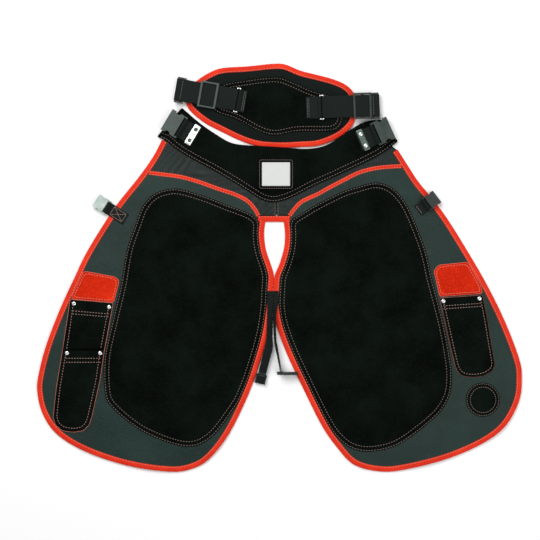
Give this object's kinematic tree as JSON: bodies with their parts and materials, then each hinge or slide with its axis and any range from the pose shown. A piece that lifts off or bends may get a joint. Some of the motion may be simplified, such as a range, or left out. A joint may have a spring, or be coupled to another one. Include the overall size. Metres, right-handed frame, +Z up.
{
  "type": "work chaps",
  "caption": "Split-leg leather work chaps laid flat, with suede thigh patches, tool pockets, side-release waist and thigh buckles and a padded back support.",
  "frame": {"origin": "on the surface that the chaps lie on, under the middle of their outline", "axes": "+X towards the right-hand leg of the laid-out chaps, +Y from the hems to the waist, +Z up out of the front face"},
  "size_m": [0.9687, 0.8161, 0.0236],
  "materials": {
    "charcoal_leather": "grained charcoal leather with a soft sheen",
    "black_suede": "black split suede, matt",
    "red_suede": "red suede, matt",
    "red_binding": "red folded binding tape",
    "webbing": "black woven polypropylene webbing",
    "mesh_fabric": "black 3D spacer mesh",
    "foam": "closed-cell foam",
    "stiffener": "felt stiffener",
    "dark_plastic": "dark grey moulded nylon",
    "pale_plastic": "pale grey moulded nylon",
    "steel": "bright steel",
    "label": "plain white woven label",
    "magnet": "nickel-plated magnet"
  },
  "bodies": {
    "hips": {"left_yoke": "charcoal_leather", "right_yoke": "charcoal_leather", "yoke_piping": "red_binding", "left_hip_panel": "charcoal_leather", "right_hip_panel": "charcoal_leather", "left_hip_suede": "black_suede", "right_hip_suede": "black_suede", "left_hip_binding": "red_binding", "right_hip_binding": "red_binding", "crotch_binding": "red_binding", "waistband": "black_suede", "waistband_lining": "stiffener", "label_patch": "black_suede", "label": "label", "belt_webs": "webbing", "rivet_plates": "steel", "belt_rivets": "steel", "thigh_tabs": "webbing"},
    "left_belt_socket": {"left_belt_socket": "dark_plastic"},
    "right_belt_socket": {"right_belt_socket": "dark_plastic"},
    "left_thigh_socket": {"left_thigh_socket": "pale_plastic"},
    "right_thigh_socket": {"right_thigh_socket": "dark_plastic"},
    "left_leg": {"left_leg_panel": "charcoal_leather", "left_leg_suede": "black_suede", "left_leg_binding": "red_binding", "left_red_patch": "red_suede", "left_pocket_backing": "black_suede", "left_upper_pocket": "black_suede", "left_lower_pocket": "black_suede", "left_pocket_rivets": "steel"},
    "left_leg_strap": {"left_leg_strap": "webbing"},
    "left_leg_plug": {"left_leg_plug": "dark_plastic"},
    "right_leg": {"right_leg_panel": "charcoal_leather", "right_leg_suede": "black_suede", "right_leg_binding": "red_binding", "right_red_patch": "red_suede", "right_pocket": "black_suede", "right_pocket_rivets": "steel", "magnet_cover": "black_suede", "magnet": "magnet"},
    "right_leg_strap": {"right_leg_strap": "webbing"},
    "right_leg_plug": {"right_leg_plug": "dark_plastic"},
    "back_support": {"pad_backing": "mesh_fabric", "pad_foam": "foam", "pad_mesh": "mesh_fabric", "pad_panel": "black_suede", "pad_binding": "red_binding", "strap_tabs": "webbing", "strap_loops": "steel"},
    "left_back_strap": {"left_back_strap": "webbing"},
    "right_back_strap": {"right_back_strap": "webbing"},
    "left_tri_glide": {"left_tri_glide": "dark_plastic"},
    "right_tri_glide": {"right_tri_glide": "dark_plastic"},
    "left_belt_plug": {"left_belt_plug": "dark_plastic"},
    "right_belt_plug": {"right_belt_plug": "dark_plastic"},
    "left_plug_arm_a": {"left_plug_arm_a": "dark_plastic"},
    "left_plug_arm_b": {"left_plug_arm_b": "dark_plastic"},
    "right_plug_arm_a": {"right_plug_arm_a": "dark_plastic"},
    "right_plug_arm_b": {"right_plug_arm_b": "dark_plastic"}
  },
  "joints": [
    {"name": "left_leg_fold", "type": "hinge", "parent": "hips", "child": "left_leg", "pos_m": [-0.19, 0.082, 0.0044], "axis": [-1, 0, 0], "range_deg": [0, 120]},
    {"name": "right_leg_fold", "type": "hinge", "parent": "hips", "child": "right_leg", "pos_m": [0.19, 0.082, 0.0044], "axis": [-1, 0, 0], "range_deg": [0, 120]},
    {"name": "left_leg_strap_lift", "type": "hinge", "parent": "left_leg", "child": "left_leg_strap", "pos_m": [-0.019, -0.046, 0.0038], "axis": [-1, 0, 0], "range_deg": [0, 75]},
    {"name": "right_leg_strap_lift", "type": "hinge", "parent": "right_leg", "child": "right_leg_strap", "pos_m": [-0.004, -0.046, 0.0038], "axis": [-1, 0, 0], "range_deg": [0, 75]},
    {"name": "left_leg_plug_swing", "type": "hinge", "parent": "left_leg_strap", "child": "left_leg_plug", "pos_m": [-0.038, -0.228, 0.007], "axis": [-0.9703, 0.2419, 0], "range_deg": [0, 150]},
    {"name": "right_leg_plug_turn", "type": "hinge", "parent": "right_leg_strap", "child": "right_leg_plug", "pos_m": [0.004, -0.21, 0.013], "axis": [0, 0, -1], "range_deg": [0, 110]},
    {"name": "left_belt_socket_lift", "type": "hinge", "parent": "hips", "child": "left_belt_socket", "pos_m": [-0.195, 0.279, 0.0152], "axis": [0.515, 0.8572, 0], "range_deg": [0, 90]},
    {"name": "right_belt_socket_lift", "type": "hinge", "parent": "hips", "child": "right_belt_socket", "pos_m": [0.192, 0.266, 0.0152], "axis": [0.4067, -0.9135, 0], "range_deg": [0, 90]},
    {"name": "left_thigh_socket_lift", "type": "hinge", "parent": "hips", "child": "left_thigh_socket", "pos_m": [-0.343, 0.121, 0.0088], "axis": [0.5446, 0.8387, 0], "range_deg": [0, 90]},
    {"name": "right_thigh_socket_lift", "type": "hinge", "parent": "hips", "child": "right_thigh_socket", "pos_m": [0.294, 0.127, 0.0088], "axis": [0.6018, -0.7986, 0], "range_deg": [0, 90]},
    {"name": "waist_adjust", "type": "slide", "parent": "hips", "child": "back_support", "axis": [0, 1, 0], "range_m": [0, 0.12]},
    {"name": "left_back_strap_lift", "type": "hinge", "parent": "back_support", "child": "left_back_strap", "pos_m": [-0.086, 0.3347, 0.015], "axis": [0.1736, 0.9848, 0], "range_deg": [0, 100]},
    {"name": "right_back_strap_lift", "type": "hinge", "parent": "back_support", "child": "right_back_strap", "pos_m": [0.088, 0.32, 0.015], "axis": [0.0349, -0.9994, 0], "range_deg": [0, 100]},
    {"name": "left_tri_glide_slide", "type": "slide", "parent": "left_back_strap", "child": "left_tri_glide", "axis": [-0.9848, 0.1736, 0], "range_m": [-0.03, 0.03]},
    {"name": "right_tri_glide_slide", "type": "slide", "parent": "right_back_strap", "child": "right_tri_glide", "axis": [0.9994, 0.0349, 0], "range_m": [-0.05, 0.003]},
    {"name": "left_belt_plug_swing", "type": "hinge", "parent": "left_back_strap", "child": "left_belt_plug", "pos_m": [-0.2029, 0.35531, 0.013], "axis": [0.1736, 0.9848, 0], "range_deg": [0, 140]},
    {"name": "right_belt_plug_swing", "type": "hinge", "parent": "right_back_strap", "child": "right_belt_plug", "pos_m": [0.19663, 0.32379, 0.013], "axis": [0.0349, -0.9994, 0], "range_deg": [0, 140]},
    {"name": "left_plug_arm_a_press", "type": "hinge", "parent": "left_belt_plug", "child": "left_plug_arm_a", "pos_m": [-0.18503, 0.36739, 0.0086], "axis": [0, 0, -1], "range_deg": [0, 5], "stiffness_Nm_per_rad": 1.2},
    {"name": "left_plug_arm_b_press", "type": "hinge", "parent": "left_belt_plug", "child": "left_plug_arm_b", "pos_m": [-0.19024, 0.33785, 0.0086], "axis": [0, 0, 1], "range_deg": [0, 5], "stiffness_Nm_per_rad": 1.2},
    {"name": "right_plug_arm_a_press", "type": "hinge", "parent": "right_belt_plug", "child": "right_plug_arm_a", "pos_m": [0.18167, 0.30826, 0.0086], "axis": [0, 0, -1], "range_deg": [0, 5], "stiffness_Nm_per_rad": 1.2},
    {"name": "right_plug_arm_b_press", "type": "hinge", "parent": "right_belt_plug", "child": "right_plug_arm_b", "pos_m": [0.18062, 0.33824, 0.0086], "axis": [0, 0, 1], "range_deg": [0, 5], "stiffness_Nm_per_rad": 1.2}
  ],
  "couplings": [
    {"joint": "left_belt_plug_swing", "follows": "left_back_strap_lift", "ratio": 1.4},
    {"joint": "right_belt_plug_swing", "follows": "right_back_strap_lift", "ratio": 1.4},
    {"joint": "left_plug_arm_b_press", "follows": "left_plug_arm_a_press", "ratio": 1},
    {"joint": "right_plug_arm_b_press", "follows": "right_plug_arm_a_press", "ratio": 1}
  ]
}
